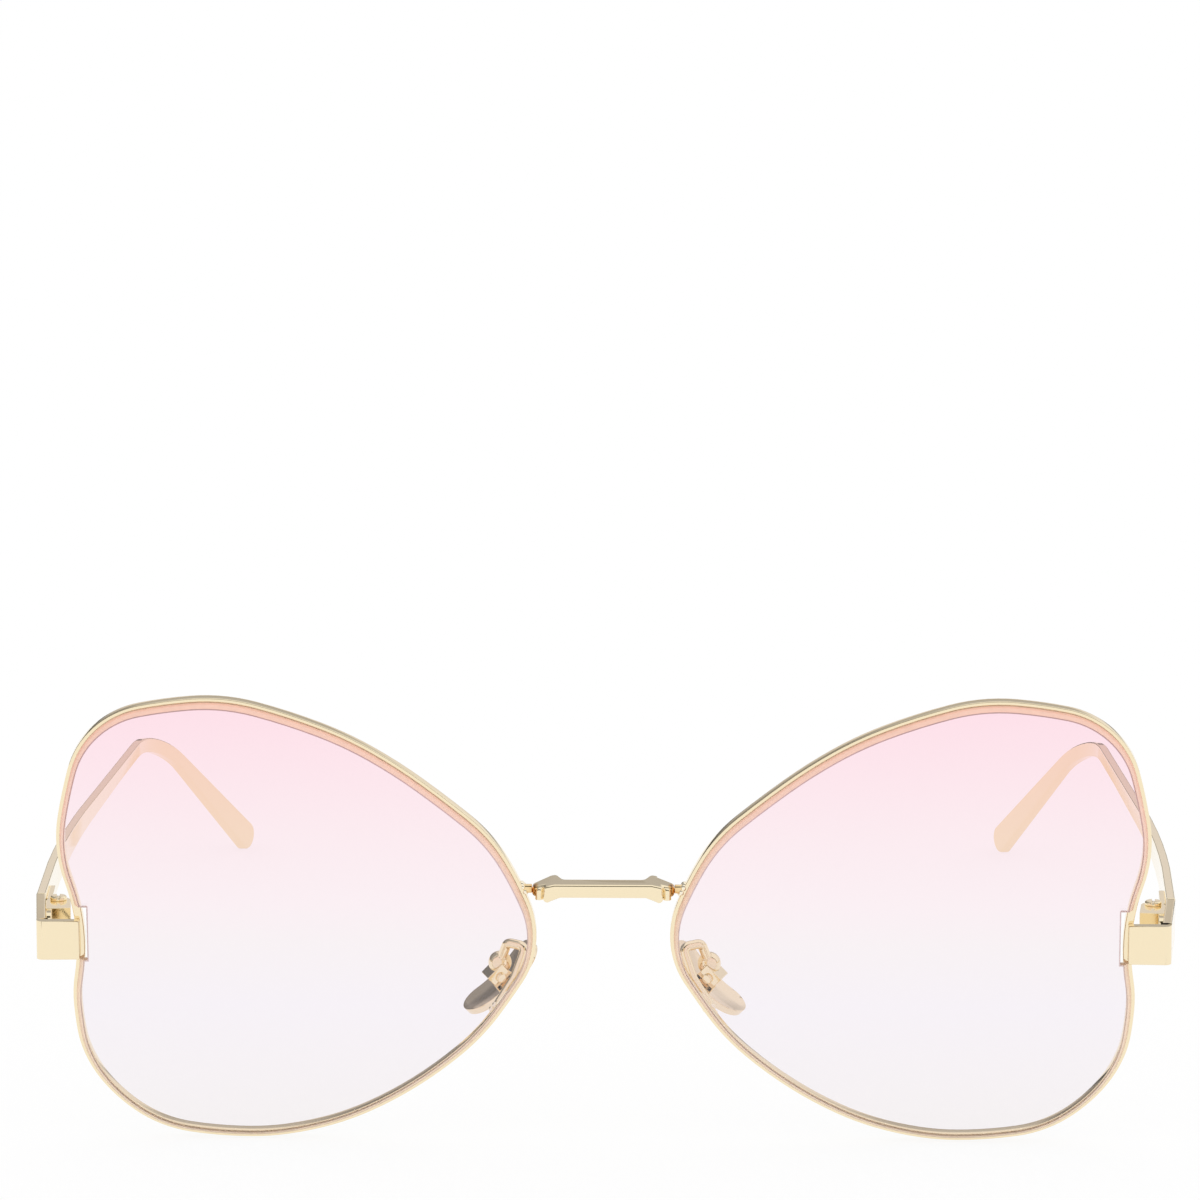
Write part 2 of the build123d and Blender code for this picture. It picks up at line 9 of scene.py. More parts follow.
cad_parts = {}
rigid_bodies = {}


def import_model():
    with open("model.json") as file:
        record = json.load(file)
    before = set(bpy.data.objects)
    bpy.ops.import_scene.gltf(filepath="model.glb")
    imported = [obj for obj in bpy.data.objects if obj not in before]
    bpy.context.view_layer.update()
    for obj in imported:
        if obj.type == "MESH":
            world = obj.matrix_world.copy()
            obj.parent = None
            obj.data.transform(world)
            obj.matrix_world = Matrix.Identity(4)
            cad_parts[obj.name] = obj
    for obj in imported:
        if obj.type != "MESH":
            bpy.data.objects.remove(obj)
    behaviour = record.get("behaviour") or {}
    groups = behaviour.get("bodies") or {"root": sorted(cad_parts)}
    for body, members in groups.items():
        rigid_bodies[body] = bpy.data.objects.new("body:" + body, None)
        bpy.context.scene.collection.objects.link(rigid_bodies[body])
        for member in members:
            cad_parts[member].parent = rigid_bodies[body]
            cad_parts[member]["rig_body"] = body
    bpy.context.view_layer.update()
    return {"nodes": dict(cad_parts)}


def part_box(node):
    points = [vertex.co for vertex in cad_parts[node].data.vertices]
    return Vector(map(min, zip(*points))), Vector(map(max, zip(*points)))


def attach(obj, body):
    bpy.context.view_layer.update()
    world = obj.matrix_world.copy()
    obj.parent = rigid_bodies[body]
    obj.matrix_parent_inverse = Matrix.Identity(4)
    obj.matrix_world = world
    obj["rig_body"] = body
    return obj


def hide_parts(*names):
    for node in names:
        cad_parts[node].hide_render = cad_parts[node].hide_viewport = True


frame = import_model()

# Butterfly sunglasses: polished pale gold wire and strap, and flat lenses that fade from pink to
# clear. Metres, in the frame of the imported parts: X to the viewer's right, Y back along the
# temples, Z up.
MM = 0.001
SIDES = ("left", "right")
NODES = frame["nodes"]

# Polishing eases the edges of the metal parts by this much, and where a part has small steps
# only the edges longer than this
LONG_EDGE = 0.8 * MM
TEMPLE_EASE = 0.24 * MM
STRAP_EASE = 0.20 * MM
BAR_EASE = 0.40 * MM
RIM_EASE = 0.16 * MM
SMALL_EASE = 0.09 * MM
EASE_STEPS = 6
FACE_WEIGHT = 100
SHARP_ANGLE = radians(28)
FLAT_ANGLE = radians(0.6)
MERGE_GAP = 0.002 * MM

# Metal parts, with the easing of their edges and the shortest edge that is eased
METAL_PARTS = {
    "end_piece": (STRAP_EASE, LONG_EDGE),
    "temple": (TEMPLE_EASE, 0),
    "hinge_front_leaf": (SMALL_EASE, 0),
    "hinge_temple_leaf": (SMALL_EASE, 0),
    "hinge_screw": (SMALL_EASE, 0),
    "bridge_post": (SMALL_EASE, 0),
    "pad_arm": (SMALL_EASE, 0),
    "pad_box": (SMALL_EASE, 0),
    "pad_screw": (SMALL_EASE, 0),
    "nose_pad": (SMALL_EASE, 0),
}

# Each lens ends this far in front of its rim, so that plastic and metal don't share a plane
LENS_AIR = 0.03 * MM
PLATE_FACING = 0.999

# Painted shade: inside its bevel the front of each lens has a fine darker line, this wide, that
# stands in for the shade along the lens's edge
SHADE_LINE_WIDTH = 0.16 * MM
PLATE_SLOT, EDGE_SLOT, SHADE_LINE_SLOT = range(3)

# Solder where wires and rim meet: beads of this size round the joint
BEAD_RADIUS = 0.44 * MM
BEAD_SPREAD = 0.35
BEAD_COUNT = 9
BEAD_SEED = 7
BEAD_STEPS = 4
CONTACT_GAP = 0.02 * MM

# Painted shade and reflection round a soldered joint: rings of darker orange gold, this far around
# it, stand in for the gold reflecting itself there
JOINT_SHADE_REACH = 2.3 * MM
JOINT_SHADE_RAGGED = 0.5 * MM

# Noise in the surfaces: its scale, in waves per metre, and its detail
STREAK_NOISE = (900, 4)
WAVE_NOISE = (160, 1)
MOTTLE_NOISE = (1300, 2)
JOINT_SHADE_NOISE = (1500, 2)
WAVE_HEIGHT = 0.1 * MM
PLASTIC_IOR = 1.5

# Colours, and colour ramps as places with their colours
WHITE = (1, 1, 1, 1)
PALE_GOLD = (0.93, 0.80, 0.56, 1)
PAD_GOLD = (0.90, 0.76, 0.56, 1)
SOLDER_GOLD = (0.97, 0.88, 0.70, 1)
# Painted shade and reflection near a joint: pale gold, a dark orange ring, then paler orange rings
# back to pale gold
JOINT_SHADE_STOPS = (
    (0.00, PALE_GOLD),
    (0.34, PALE_GOLD),
    (0.46, (0.80, 0.48, 0.17, 1)),
    (0.54, (0.22, 0.08, 0.02, 1)),
    (0.62, (0.78, 0.42, 0.13, 1)),
    (0.72, (0.88, 0.66, 0.36, 1)),
    (1.00, PALE_GOLD),
)
TINT_STOPS = (
    (0.05, (0.930, 0.896, 0.905, 1)),
    (0.31, (0.930, 0.888, 0.932, 1)),
    (0.45, (0.941, 0.886, 0.907, 1)),
    (0.54, (0.964, 0.868, 0.902, 1)),
    (0.70, (0.973, 0.832, 0.872, 1)),
    (0.98, (0.992, 0.745, 0.815, 1)),
)
# Lens ground edge: its own frosted plastic, painted with the peach to salmon of the gold rim seen
# through the lens
EDGE_FROST_AND_GOLD_STOPS = (
    (0.00, (0.93, 0.70, 0.50, 1)),
    (0.40, (0.97, 0.70, 0.50, 1)),
    (0.75, (0.98, 0.62, 0.48, 1)),
    (1.00, (1.00, 0.62, 0.46, 1)),
)
# Painted shade line inside the lens bevel: brown to mauve, darker towards the top
SHADE_LINE_STOPS = (
    (0.00, (0.72, 0.55, 0.42, 1)),
    (0.40, (0.74, 0.56, 0.54, 1)),
    (0.75, (0.62, 0.38, 0.38, 1)),
    (1.00, (0.46, 0.24, 0.22, 1)),
)

# Floor: matt white paper. A share of it is plain white to the eye, which keeps its shadows faint.
FLOOR_SIZE = 8.0
FLOOR_COLOUR = (0.95, 0.95, 0.95, 1)
FLOOR_ROUGHNESS = 0.9
FLOOR_GLOW = 0.88

# Studio: an even white room. What the metal mirrors of it is an arc, from the horizon behind the
# object (0) over the ceiling (0.5) to the horizon in front (1): a dark horizon, a pale wall, a dark
# gap, a grey panel, the white ceiling, and a dark gap before the white front.
ROOM_LIGHT = 1.06
FIRST_MIRROR = 1.5
HORIZON_GREY = (0.16, 0.16, 0.15, 1)
WALL_GREY = (0.78, 0.74, 0.72, 1)
GAP_GREY = (0.42, 0.40, 0.38, 1)
PANEL_GREY = (0.52, 0.51, 0.52, 1)
FRONT_DARK = (0.05, 0.045, 0.03, 1)
ARC_STOPS = (
    (0.000, HORIZON_GREY),
    (0.022, HORIZON_GREY),
    (0.032, WALL_GREY),
    (0.098, WALL_GREY),
    (0.108, GAP_GREY),
    (0.120, GAP_GREY),
    (0.130, PANEL_GREY),
    (0.165, PANEL_GREY),
    (0.190, WHITE),
    (0.540, WHITE),
    (0.570, FRONT_DARK),
    (0.700, FRONT_DARK),
    (0.730, WHITE),
)

# Two cards stand behind the object. The left one darkens the arc and the right one whitens it, from
# the inner edge to the outer one, which are given as the X of the direction to them.
CARD_STRENGTH = 0.7
CARD_INNER = 0.2
CARD_OUTER = 0.4
BEHIND_BLUR = 0.15

# Camera at the photograph's angle: a long lens from in front and a little above
CAMERA_PLACE = (15.69 * MM, -907.88 * MM, 240.00 * MM)
CAMERA_TILT = 78.359
CAMERA_TURN = 1.108
CAMERA_REACH = (0.01, 100)
SENSOR_WIDTH = 36
FOCAL_PIXELS = 7000
PHOTO_PIXELS = 1200


# Node helpers
def new_material(name):
    """An empty material, its node tree and its output."""
    material = bpy.data.materials.new(name)
    material.use_nodes = True
    tree = material.node_tree
    tree.nodes.clear()
    return material, tree, tree.nodes.new("ShaderNodeOutputMaterial")


def new_tree(name, kind, inputs, outputs):
    """A node group with the given ports, by label and type, and its two end nodes."""
    tree = bpy.data.node_groups.new(name, kind)
    for way, ports in (("INPUT", inputs), ("OUTPUT", outputs)):
        for label, socket in ports.items():
            tree.interface.new_socket(label, in_out=way, socket_type=f"NodeSocket{socket}")
    return tree, tree.nodes.new("NodeGroupInput"), tree.nodes.new("NodeGroupOutput")


def group_node(tree, group, values):
    """A node of the group with its inputs set, as its outputs."""
    node = tree.nodes.new("ShaderNodeGroup")
    node.node_tree = group
    for label, value in values.items():
        node.inputs[label].default_value = value
    return node.outputs


def arithmetic(tree, operation, *values):
    """A math node whose inputs are constants or sockets, as its output."""
    node = tree.nodes.new("ShaderNodeMath")
    node.operation = operation
    for socket, value in zip(node.inputs, values):
        if isinstance(value, (int, float)):
            socket.default_value = value
        else:
            tree.links.new(value, socket)
    return node.outputs[0]


def coordinates(tree, kind):
    return tree.nodes.new("ShaderNodeTexCoord").outputs[kind]


def parted(tree, vector):
    """The X, Y and Z of a vector, as outputs."""
    node = tree.nodes.new("ShaderNodeSeparateXYZ")
    tree.links.new(vector, node.inputs[0])
    return node.outputs


def noise(tree, vector, scale, detail):
    node = tree.nodes.new("ShaderNodeTexNoise")
    node.inputs["Scale"].default_value = scale
    node.inputs["Detail"].default_value = detail
    tree.links.new(vector, node.inputs["Vector"])
    return node.outputs["Fac"]


def ramp(tree, factor, stops):
    """A colour ramp through the stops, as its colour output."""
    node = tree.nodes.new("ShaderNodeValToRGB")
    elements = node.color_ramp.elements
    elements[0].position, elements[0].color = stops[0]
    elements[1].position, elements[1].color = stops[-1]
    for position, colour in stops[1:-1]:
        elements.new(position).color = colour
    tree.links.new(factor, node.inputs["Fac"])
    return node.outputs["Color"]


def between(tree, value, low, high):
    """0 at the low value, 1 at the high one and even between them."""
    node = tree.nodes.new("ShaderNodeMapRange")
    node.inputs["From Min"].default_value = low
    node.inputs["From Max"].default_value = high
    tree.links.new(value, node.inputs["Value"])
    return node.outputs[0]


def scaled(tree, colour, factor):
    """The colour times the factor."""
    node = tree.nodes.new("ShaderNodeVectorMath")
    node.operation = "SCALE"
    tree.links.new(colour, node.inputs[0])
    tree.links.new(factor, node.inputs["Scale"])
    return node.outputs[0]


def mixed(tree, factor, first, second):
    """The first shader where the factor is 0 and the second one where it is 1."""
    node = tree.nodes.new("ShaderNodeMixShader")
    for socket, source in zip(node.inputs, (factor, first, second)):
        tree.links.new(source, socket)
    return node.outputs[0]


def seen_directly(tree):
    """1 for rays that show the background: the camera's, or mirrored, or through a lens."""
    rays = tree.nodes.new("ShaderNodeLightPath").outputs
    mirrored = arithmetic(tree, "MAXIMUM", rays["Is Camera Ray"], rays["Is Glossy Ray"])
    return arithmetic(tree, "MAXIMUM", mirrored, rays["Is Transmission Ray"])


# Materials
def polish_group():
    """Buffed metal: fine streaks in the roughness and a faint waviness of the surface."""
    group, given, made = new_tree(
        "buffed metal", "ShaderNodeTree",
        {"Haze": "Float", "Haze Spread": "Float", "Wave": "Float"},
        {"Roughness": "Float", "Normal": "Vector"},
    )
    place = coordinates(group, "Object")
    streaks = noise(group, place, *STREAK_NOISE)
    spread, haze = given.outputs["Haze Spread"], given.outputs["Haze"]
    roughness = arithmetic(group, "MULTIPLY_ADD", streaks, spread, haze)
    group.links.new(roughness, made.inputs["Roughness"])
    bump = group.nodes.new("ShaderNodeBump")
    bump.inputs["Distance"].default_value = WAVE_HEIGHT
    group.links.new(given.outputs["Wave"], bump.inputs["Strength"])
    group.links.new(noise(group, place, *WAVE_NOISE), bump.inputs["Height"])
    group.links.new(bump.outputs["Normal"], made.inputs["Normal"])
    return group


def joint_shade_group():
    """How much painted shade and reflection a place gets from a soldered joint, alike on both
    sides: 0 far from it, 1 in it.
    """
    group, given, made = new_tree(
        "heat tint", "ShaderNodeTree",
        {"Joint X": "Float", "Joint Y": "Float", "Joint Z": "Float"}, {"Painted Shade": "Float"},
    )
    nodes, links = group.nodes, group.links
    place = coordinates(group, "Object")
    spot = parted(group, place)
    folded, joint = nodes.new("ShaderNodeCombineXYZ"), nodes.new("ShaderNodeCombineXYZ")
    links.new(arithmetic(group, "ABSOLUTE", spot["X"]), folded.inputs["X"])
    for axis in "YZ":
        links.new(spot[axis], folded.inputs[axis])
    for axis in "XYZ":
        links.new(given.outputs[f"Joint {axis}"], joint.inputs[axis])
    away = nodes.new("ShaderNodeVectorMath")
    away.operation = "DISTANCE"
    links.new(folded.outputs[0], away.inputs[0])
    links.new(joint.outputs[0], away.inputs[1])
    rough = noise(group, place, *JOINT_SHADE_NOISE)
    ragged = arithmetic(group, "MULTIPLY_ADD", rough, JOINT_SHADE_RAGGED, away.outputs["Value"])
    painted_shade = between(group, ragged, JOINT_SHADE_REACH + JOINT_SHADE_RAGGED / 2, JOINT_SHADE_RAGGED / 2)
    links.new(painted_shade, made.inputs["Painted Shade"])
    return group


def tint_group(name, stops):
    """Colour of the lens by its height, even across: the dye fading downward as dipping leaves it,
    and the painted gold and shade at its edge changing with height.
    """
    group, given, made = new_tree(
        name, "ShaderNodeTree", {"Mottle": "Float"}, {"Colour": "Color"})
    low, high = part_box("lens_right")
    place = coordinates(group, "Object")
    height = between(group, parted(group, place)["Z"], low[2], high[2])
    speckle = noise(group, place, *MOTTLE_NOISE)
    grain = arithmetic(group, "MULTIPLY", speckle, given.outputs["Mottle"])
    dimmed = arithmetic(group, "SUBTRACT", 1.0, grain)
    group.links.new(scaled(group, ramp(group, height, stops), dimmed), made.inputs["Colour"])
    return group


def gold(name, colour, haze, spread, wave):
    material, tree, output = new_material(name)
    shader = tree.nodes.new("ShaderNodeBsdfPrincipled")
    shader.inputs["Base Color"].default_value = colour
    shader.inputs["Metallic"].default_value = 1
    polish = group_node(tree, POLISH, {"Haze": haze, "Haze Spread": spread, "Wave": wave})
    for label in ("Roughness", "Normal"):
        tree.links.new(polish[label], shader.inputs[label])
    tree.links.new(shader.outputs[0], output.inputs["Surface"])
    return material


def with_joint_shade(material, joint):
    """The same gold with rings of painted shade and reflection around a joint."""
    made = material.copy()
    made.name = f"{material.name} heated"
    tree = made.node_tree
    place = {f"Joint {axis}": value for axis, value in zip("XYZ", joint)}
    painted_shade = group_node(tree, JOINT_SHADE, place)["Painted Shade"]
    shader = next(node for node in tree.nodes if node.type == "BSDF_PRINCIPLED")
    tree.links.new(ramp(tree, painted_shade, JOINT_SHADE_STOPS), shader.inputs["Base Color"])
    return made


def lens_plastic(name, stops, clarity, roughness, mottle):
    """Dyed plastic, which lets the light for shadows straight through."""
    material, tree, output = new_material(name)
    tint = group_node(tree, tint_group(f"{name} tint", stops), {"Mottle": mottle})["Colour"]
    glass = tree.nodes.new("ShaderNodeBsdfPrincipled")
    glass.inputs["IOR"].default_value = PLASTIC_IOR
    glass.inputs["Transmission Weight"].default_value = clarity
    glass.inputs["Roughness"].default_value = roughness
    tree.links.new(tint, glass.inputs["Base Color"])
    clear = tree.nodes.new("ShaderNodeBsdfTransparent")
    tree.links.new(tint, clear.inputs["Color"])
    shadow = tree.nodes.new("ShaderNodeLightPath").outputs["Is Shadow Ray"]
    surface = mixed(tree, shadow, glass.outputs[0], clear.outputs[0])
    tree.links.new(surface, output.inputs["Surface"])
    return material


def floor_paint():
    material, tree, output = new_material("pale floor")
    paper = tree.nodes.new("ShaderNodeBsdfPrincipled")
    paper.inputs["Base Color"].default_value = FLOOR_COLOUR
    paper.inputs["Roughness"].default_value = FLOOR_ROUGHNESS
    paper.inputs["Specular IOR Level"].default_value = 0.0
    glow = tree.nodes.new("ShaderNodeEmission")
    glow.inputs["Color"].default_value = WHITE
    share = arithmetic(tree, "MULTIPLY", seen_directly(tree), FLOOR_GLOW)
    surface = mixed(tree, share, paper.outputs[0], glow.outputs[0])
    tree.links.new(surface, output.inputs["Surface"])
    return material


# Mesh helpers
def paint(piece, *materials):
    for material in materials:
        piece.data.materials.append(material)


def merged_copy(node):
    """A bmesh of the part with its flat faces made whole."""
    work = bmesh.new()
    work.from_mesh(NODES[node].data)
    bmesh.ops.remove_doubles(work, verts=work.verts, dist=MERGE_GAP)
    bmesh.ops.dissolve_limit(work, angle_limit=FLAT_ANGLE, verts=work.verts, edges=work.edges)
    return work


def mesh_of(work, name):
    """The bmesh as a mesh. The bmesh is gone after it."""
    mesh = bpy.data.meshes.new(name)
    work.to_mesh(mesh)
    work.free()
    return mesh


def place_piece(name, mesh, node, replaced=True):
    """An object of the mesh that moves with the node's body and stands for the node if replaced."""
    piece = bpy.data.objects.new(name, mesh)
    bpy.context.scene.collection.objects.link(piece)
    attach(piece, NODES[node]["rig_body"])
    if replaced:
        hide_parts(node)
    return piece


def eased(node, width, shortest, material):
    """A copy of the part with its edges eased, which stands for the part."""
    work = merged_copy(node)
    for face in work.faces:
        face.smooth = True
    weight = work.edges.layers.float.new("bevel_weight_edge")
    for edge in work.edges:
        if edge.calc_face_angle(0) > SHARP_ANGLE:
            rounded = edge.calc_length() > shortest
            edge[weight] = rounded
            edge.smooth = rounded
    piece = place_piece(f"{node}_metal", mesh_of(work, f"{node}_eased"), node)
    paint(piece, material)
    bevel = piece.modifiers.new("ease", "BEVEL")
    bevel.width = width
    bevel.segments = EASE_STEPS
    bevel.limit_method = "WEIGHT"
    bevel.use_clamp_overlap = False
    even = piece.modifiers.new("even", "WEIGHTED_NORMAL")
    even.keep_sharp = True
    even.weight = FACE_WEIGHT


def back_plane(work):
    """The large flat face at the back of a lens."""
    largest = sorted(work.faces, key=lambda face: face.calc_area())[-2:]
    return max(largest, key=lambda face: face.normal.y)


def lens_piece(node, *materials):
    """A copy of the lens: clear faces, a ground edge round them that is partly painted with the
    gold seen through it, and the painted shade line inside the bevel.

    It returns the direction in which the back of the lens faces.
    """
    work = merged_copy(node)
    back = back_plane(work)
    facing = back.normal.copy()
    for vert in back.verts:
        vert.co -= facing * LENS_AIR
    for face in work.faces:
        flat = abs(face.normal.dot(facing)) > PLATE_FACING
        face.material_index = PLATE_SLOT if flat else EDGE_SLOT
    others = [face for face in work.faces if face is not back]
    front = max(others, key=lambda face: face.calc_area())
    shade_line = bmesh.ops.inset_region(work, faces=[front], thickness=SHADE_LINE_WIDTH, use_even_offset=True)
    for face in shade_line["faces"]:
        face.material_index = SHADE_LINE_SLOT
    for face in work.faces:
        face.smooth = True
    for edge in work.edges:
        edge.smooth = edge.calc_face_angle(0) < SHARP_ANGLE
    piece = place_piece(f"{node}_plate", mesh_of(work, f"{node}_plate"), node)
    paint(piece, *materials)
    return facing


# Geometry node trees
def finish_tree(tree, given, made, geometry):
    """The end of a tree: smooth shading, real instances and the material."""
    for step in ("SetShadeSmooth", "RealizeInstances", "SetMaterial"):
        node = tree.nodes.new(f"GeometryNode{step}")
        tree.links.new(geometry, node.inputs["Geometry"])
        geometry = node.outputs["Geometry"]
    tree.links.new(given.outputs["Material"], node.inputs["Material"])
    tree.links.new(geometry, made.inputs["Geometry"])


def flat_wire_tree():
    """A wire of rounded rectangular section that hangs inward and back from the path it follows."""
    tree, given, made = new_tree("flat wire", "GeometryNodeTree", {
        "Geometry": "Geometry", "Width": "Float", "Depth": "Float", "Round": "Float",
        "Material": "Material",
    }, {"Geometry": "Geometry"})
    nodes, links = tree.nodes, tree.links
    path = nodes.new("GeometryNodeMeshToCurve")
    links.new(given.outputs["Geometry"], path.inputs["Mesh"])
    upright = nodes.new("GeometryNodeSetCurveNormal")
    upright.mode = "Z_UP"
    links.new(path.outputs["Curve"], upright.inputs["Curve"])
    section = nodes.new("GeometryNodeCurvePrimitiveQuadrilateral")
    links.new(given.outputs["Width"], section.inputs["Width"])
    links.new(given.outputs["Depth"], section.inputs["Height"])
    rounded = nodes.new("GeometryNodeFilletCurve")
    rounded.mode = "POLY"
    rounded.inputs["Count"].default_value = EASE_STEPS
    links.new(section.outputs["Curve"], rounded.inputs["Curve"])
    links.new(given.outputs["Round"], rounded.inputs["Radius"])
    aside = nodes.new("ShaderNodeCombineXYZ")
    for label, socket in (("Width", "X"), ("Depth", "Y")):
        half = arithmetic(tree, "MULTIPLY", given.outputs[label], 0.5)
        links.new(half, aside.inputs[socket])
    moved = nodes.new("GeometryNodeTransform")
    links.new(rounded.outputs["Curve"], moved.inputs["Geometry"])
    links.new(aside.outputs["Vector"], moved.inputs["Translation"])
    wire = nodes.new("GeometryNodeCurveToMesh")
    links.new(upright.outputs["Curve"], wire.inputs["Curve"])
    links.new(moved.outputs["Geometry"], wire.inputs["Profile Curve"])
    finish_tree(tree, given, made, wire.outputs["Mesh"])
    return tree


def bead_tree():
    """Solder: beads of uneven size on the points it is given."""
    tree, given, made = new_tree("solder beads", "GeometryNodeTree", {
        "Geometry": "Geometry", "Radius": "Float", "Spread": "Float", "Seed": "Int",
        "Material": "Material",
    }, {"Geometry": "Geometry"})
    nodes, links = tree.nodes, tree.links
    bead = nodes.new("GeometryNodeMeshIcoSphere")
    bead.inputs["Subdivisions"].default_value = BEAD_STEPS
    links.new(given.outputs["Radius"], bead.inputs["Radius"])
    size = nodes.new("FunctionNodeRandomValue")
    size.data_type = "FLOAT"
    limits = [socket for socket in size.inputs if socket.type == "VALUE" and socket.enabled]
    links.new(arithmetic(tree, "SUBTRACT", 1.0, given.outputs["Spread"]), limits[0])
    limits[1].default_value = 1.0
    links.new(given.outputs["Seed"], size.inputs["Seed"])
    placed = nodes.new("GeometryNodeInstanceOnPoints")
    links.new(given.outputs["Geometry"], placed.inputs["Points"])
    links.new(bead.outputs["Mesh"], placed.inputs["Instance"])
    value = next(socket for socket in size.outputs if socket.type == "VALUE" and socket.enabled)
    links.new(value, placed.inputs["Scale"])
    finish_tree(tree, given, made, placed.outputs["Instances"])
    return tree


def grown(tree, name, points, edges, values):
    """The plain mesh that the tree makes from the points and edges."""
    seed = bpy.data.meshes.new(f"{name}_seed")
    seed.from_pydata(points, edges, [])
    holder = bpy.data.objects.new(f"{name}_seed", seed)
    bpy.context.scene.collection.objects.link(holder)
    modifier = holder.modifiers.new(name, "NODES")
    modifier.node_group = tree
    for item in tree.interface.items_tree:
        if item.in_out == "INPUT" and item.name in values:
            modifier[item.identifier] = values[item.name]
    graph = bpy.context.evaluated_depsgraph_get()
    mesh = bpy.data.meshes.new_from_object(holder.evaluated_get(graph), depsgraph=graph)
    holder.modifiers.remove(modifier)
    bpy.data.objects.remove(holder)
    mesh.name = name
    return mesh


# Rim, drawn as a flat wire that follows the outer edge of the part
def loop_length(points):
    return sum((point - points[i - 1]).length for i, point in enumerate(points))


def rim_loop(node, facing):
    """The outer edge of the rim's front, in order, and the rim's width and depth."""
    work = merged_copy(node)
    depths = [vert.co.dot(facing) for vert in work.verts]
    front, back = min(depths), max(depths)
    middle = (front + back) / 2
    corners = {}
    for edge in work.edges:
        ends = edge.verts
        in_front = all(vert.co.dot(facing) <= middle for vert in ends)
        if in_front and edge.calc_face_angle(0) >= SHARP_ANGLE:
            for vert, other in (ends, reversed(ends)):
                corners.setdefault(vert.index, (vert.co.copy(), []))[1].append(other.index)
    work.free()
    loops = []
    left = set(corners)
    while left:
        here = min(left)
        loop = []
        while here in left:
            left.remove(here)
            loop.append(corners[here][0])
            here = next((i for i in corners[here][1] if i in left), -1)
        loops.append(loop)
    loops.sort(key=loop_length)
    outer, inner = loops[-1], loops[-2]
    width = min((outer[0] - point).length for point in inner)
    return outer, width, back - front


def rim_piece(node, facing, material):
    """The rim as a flat wire, bent in the plane of the lens and set in its place."""
    loop, width, depth = rim_loop(node, facing)
    lean = atan2(facing.z, facing.y)
    stand = Matrix.Rotation(lean, 4, "X") @ Matrix.Rotation(pi / 2, 4, "X")
    flat = [stand.inverted() @ point for point in loop]
    level = flat[0].z
    area = sum(a.x * b.y - b.x * a.y for a, b in zip(flat, flat[1:] + flat[:1]))
    if area > 0:
        flat.reverse()
    points = [(point.x, point.y, 0) for point in flat]
    edges = [(i, (i + 1) % len(points)) for i in range(len(points))]
    mesh = grown(FLAT_WIRE, f"{node}_wire", points, edges, {
        "Width": width, "Depth": depth, "Round": RIM_EASE, "Material": material,
    })
    mesh.transform(stand @ Matrix.Translation((0, 0, level)))
    place_piece(f"{node}_wire", mesh, node)


# Solder
def contact_points(part, rim):
    """The corners of the part that touch the rim."""
    work = merged_copy(rim)
    skin = BVHTree.FromBMesh(work)
    work.free()
    spots = {tuple(vert.co) for vert in NODES[part].data.vertices}
    return sorted(spot for spot in spots if skin.find_nearest(spot, CONTACT_GAP)[0])


def solder_piece(name, joints, material):
    """Beads of solder round the joints, on the body that the rims belong to."""
    points = []
    for touching in joints:
        points += [touching[i * len(touching) // BEAD_COUNT] for i in range(BEAD_COUNT)]
    mesh = grown(BEADS, name, points, [], {
        "Radius": BEAD_RADIUS, "Spread": BEAD_SPREAD, "Seed": BEAD_SEED, "Material": material,
    })
    place_piece(name, mesh, "bridge_bar", replaced=False)


# Studio
def studio_world():
    """Even white light, and the arc with its cards for what the metal mirrors first."""
    world = bpy.data.worlds.new("studio")
    world.use_nodes = True
    tree = world.node_tree
    tree.nodes.clear()
    nodes, links = tree.nodes, tree.links
    way = parted(tree, coordinates(tree, "Generated"))
    behind = between(tree, way["Y"], -BEHIND_BLUR, BEHIND_BLUR)
    left = between(tree, way["X"], -CARD_INNER, -CARD_OUTER)
    right = between(tree, way["X"], CARD_INNER, CARD_OUTER)
    rise = arithmetic(tree, "ARCTAN2", arithmetic(tree, "ABSOLUTE", way["Z"]), way["Y"])
    arc = ramp(tree, arithmetic(tree, "DIVIDE", rise, pi), ARC_STOPS)
    off_left, off_right = (
        arithmetic(tree, "MULTIPLY_ADD", card, -CARD_STRENGTH, 1.0)
        for card in [arithmetic(tree, "MULTIPLY", side, behind) for side in (left, right)]
    )
    rays = nodes.new("ShaderNodeLightPath").outputs
    mirrored = arithmetic(tree, "SUBTRACT", rays["Is Glossy Ray"], rays["Is Transmission Ray"])
    once = arithmetic(tree, "LESS_THAN", rays["Glossy Depth"], FIRST_MIRROR)
    share = arithmetic(tree, "MULTIPLY", off_right, arithmetic(tree, "MULTIPLY", mirrored, once))
    room = nodes.new("ShaderNodeMix")
    room.data_type = "RGBA"
    links.new(share, room.inputs["Factor"])
    plain, dark = [socket for socket in room.inputs if socket.type == "RGBA"]
    plain.default_value = WHITE
    links.new(scaled(tree, arc, off_left), dark)
    light, seen = nodes.new("ShaderNodeBackground"), nodes.new("ShaderNodeBackground")
    light.inputs["Color"].default_value = WHITE
    light.inputs["Strength"].default_value = ROOM_LIGHT
    colour = next(socket for socket in room.outputs if socket.type == "RGBA")
    links.new(colour, seen.inputs["Color"])
    surface = mixed(tree, seen_directly(tree), light.outputs[0], seen.outputs[0])
    links.new(surface, nodes.new("ShaderNodeOutputWorld").inputs["Surface"])
    return world


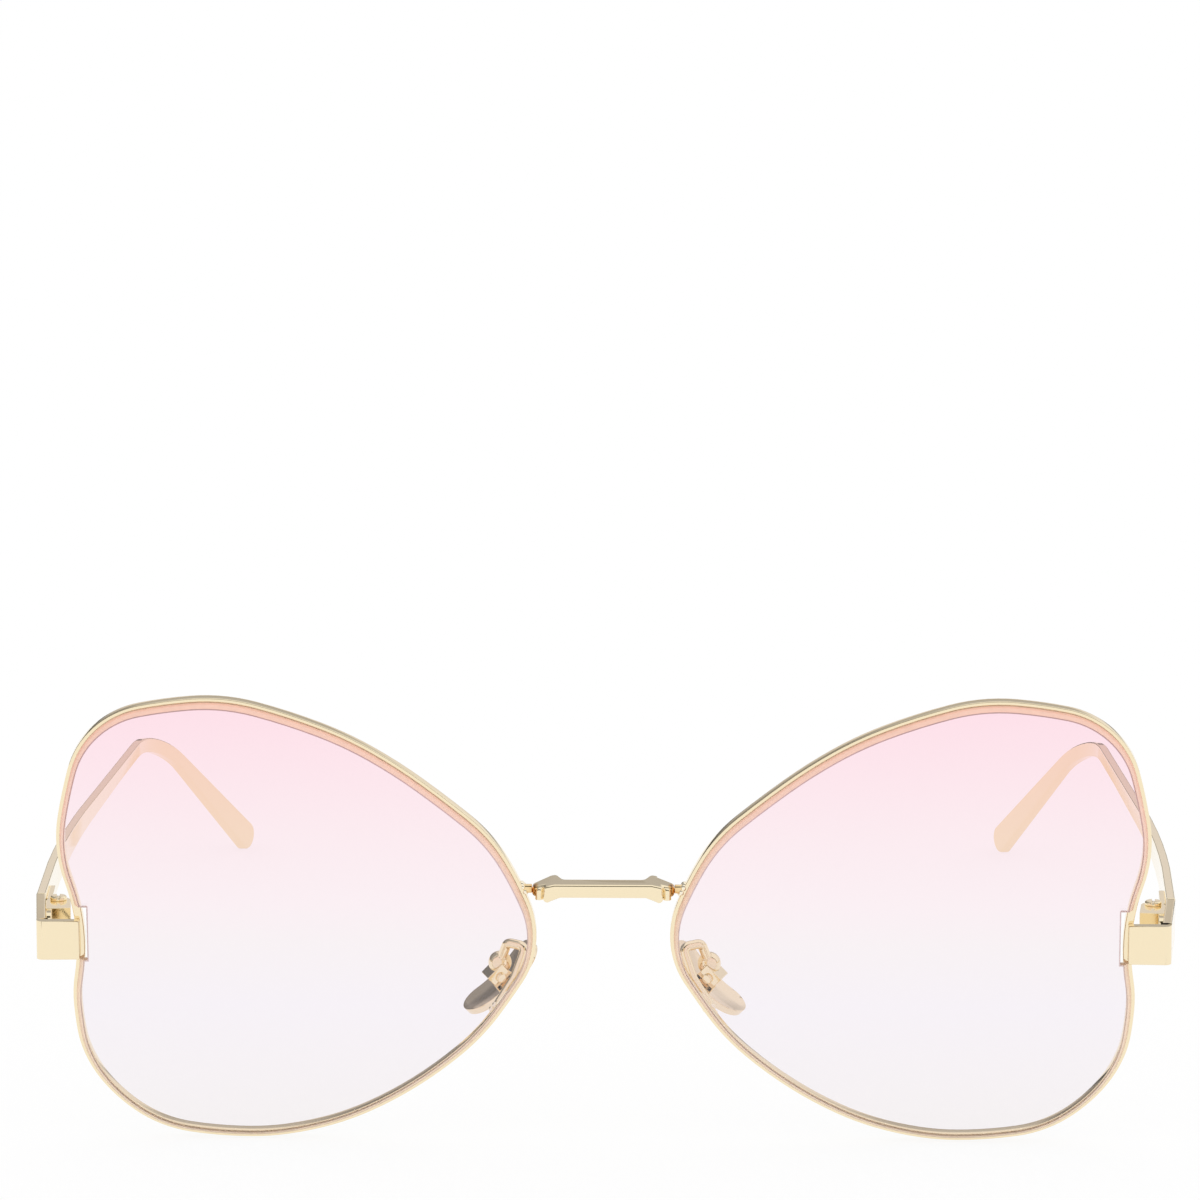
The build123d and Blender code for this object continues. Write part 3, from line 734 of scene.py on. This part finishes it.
def photo_camera():
    data = bpy.data.cameras.new("camera")
    data.sensor_width = SENSOR_WIDTH
    data.lens = SENSOR_WIDTH * FOCAL_PIXELS / PHOTO_PIXELS
    data.clip_start, data.clip_end = CAMERA_REACH
    camera = bpy.data.objects.new("camera", data)
    camera.location = CAMERA_PLACE
    camera.rotation_euler = (radians(CAMERA_TILT), 0, radians(CAMERA_TURN))
    bpy.context.scene.collection.objects.link(camera)
    return camera


# Node groups and materials
POLISH = polish_group()
JOINT_SHADE = joint_shade_group()
FLAT_WIRE = flat_wire_tree()
BEADS = bead_tree()

pale_gold = gold("pale gold polish", PALE_GOLD, haze=0.05, spread=0.06, wave=0.03)
pad_gold = gold("pad gold polish", PAD_GOLD, haze=0.08, spread=0.06, wave=0.02)
solder_gold = gold("solder gold", SOLDER_GOLD, haze=0.10, spread=0.15, wave=0.25)
# The ground edge is partly painted with the rim's gold seen through the lens, and the bevel line is
# painted shade
lens_plastics = (
    lens_plastic("lens plastic", TINT_STOPS, clarity=1.0, roughness=0.0, mottle=0.0),
    lens_plastic("lens edge frost and painted gold", EDGE_FROST_AND_GOLD_STOPS, clarity=0.35, roughness=0.35, mottle=0.16),
    lens_plastic("lens bevel line", SHADE_LINE_STOPS, clarity=0.5, roughness=0.3, mottle=0.3),
)

# Where solder sits, and the joint that the painted shade and reflection are drawn around
soldered = [
    contact_points(f"{part}_{side}", f"rim_{side}")
    for part in ("bridge_post", "pad_arm")
    for side in SIDES
]
post_joint = [(low + high) / 2 for low, high in zip(*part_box("bridge_post_right"))]
# Gold with painted shade and reflection round the bridge post's joint, for the posts and the bar
joint_shaded_gold = with_joint_shade(pale_gold, post_joint)
part_gold = {"nose_pad": pad_gold, "bridge_post": joint_shaded_gold}

# Sunglasses
for side in SIDES:
    lens_facing = lens_piece(f"lens_{side}", *lens_plastics)
    rim_piece(f"rim_{side}", lens_facing, pale_gold)
    for part, (ease, shortest) in METAL_PARTS.items():
        eased(f"{part}_{side}", ease, shortest, part_gold.get(part, pale_gold))
eased("bridge_bar", BAR_EASE, LONG_EDGE, joint_shaded_gold)
solder_piece("solder", soldered, solder_gold)

# Floor, room and camera
bpy.ops.mesh.primitive_plane_add(size=FLOOR_SIZE)
floor = bpy.context.object
floor.name = "floor"
paint(floor, floor_paint())

bpy.context.scene.world = studio_world()
bpy.context.scene.camera = photo_camera()
bpy.context.scene.view_settings.view_transform = "Standard"
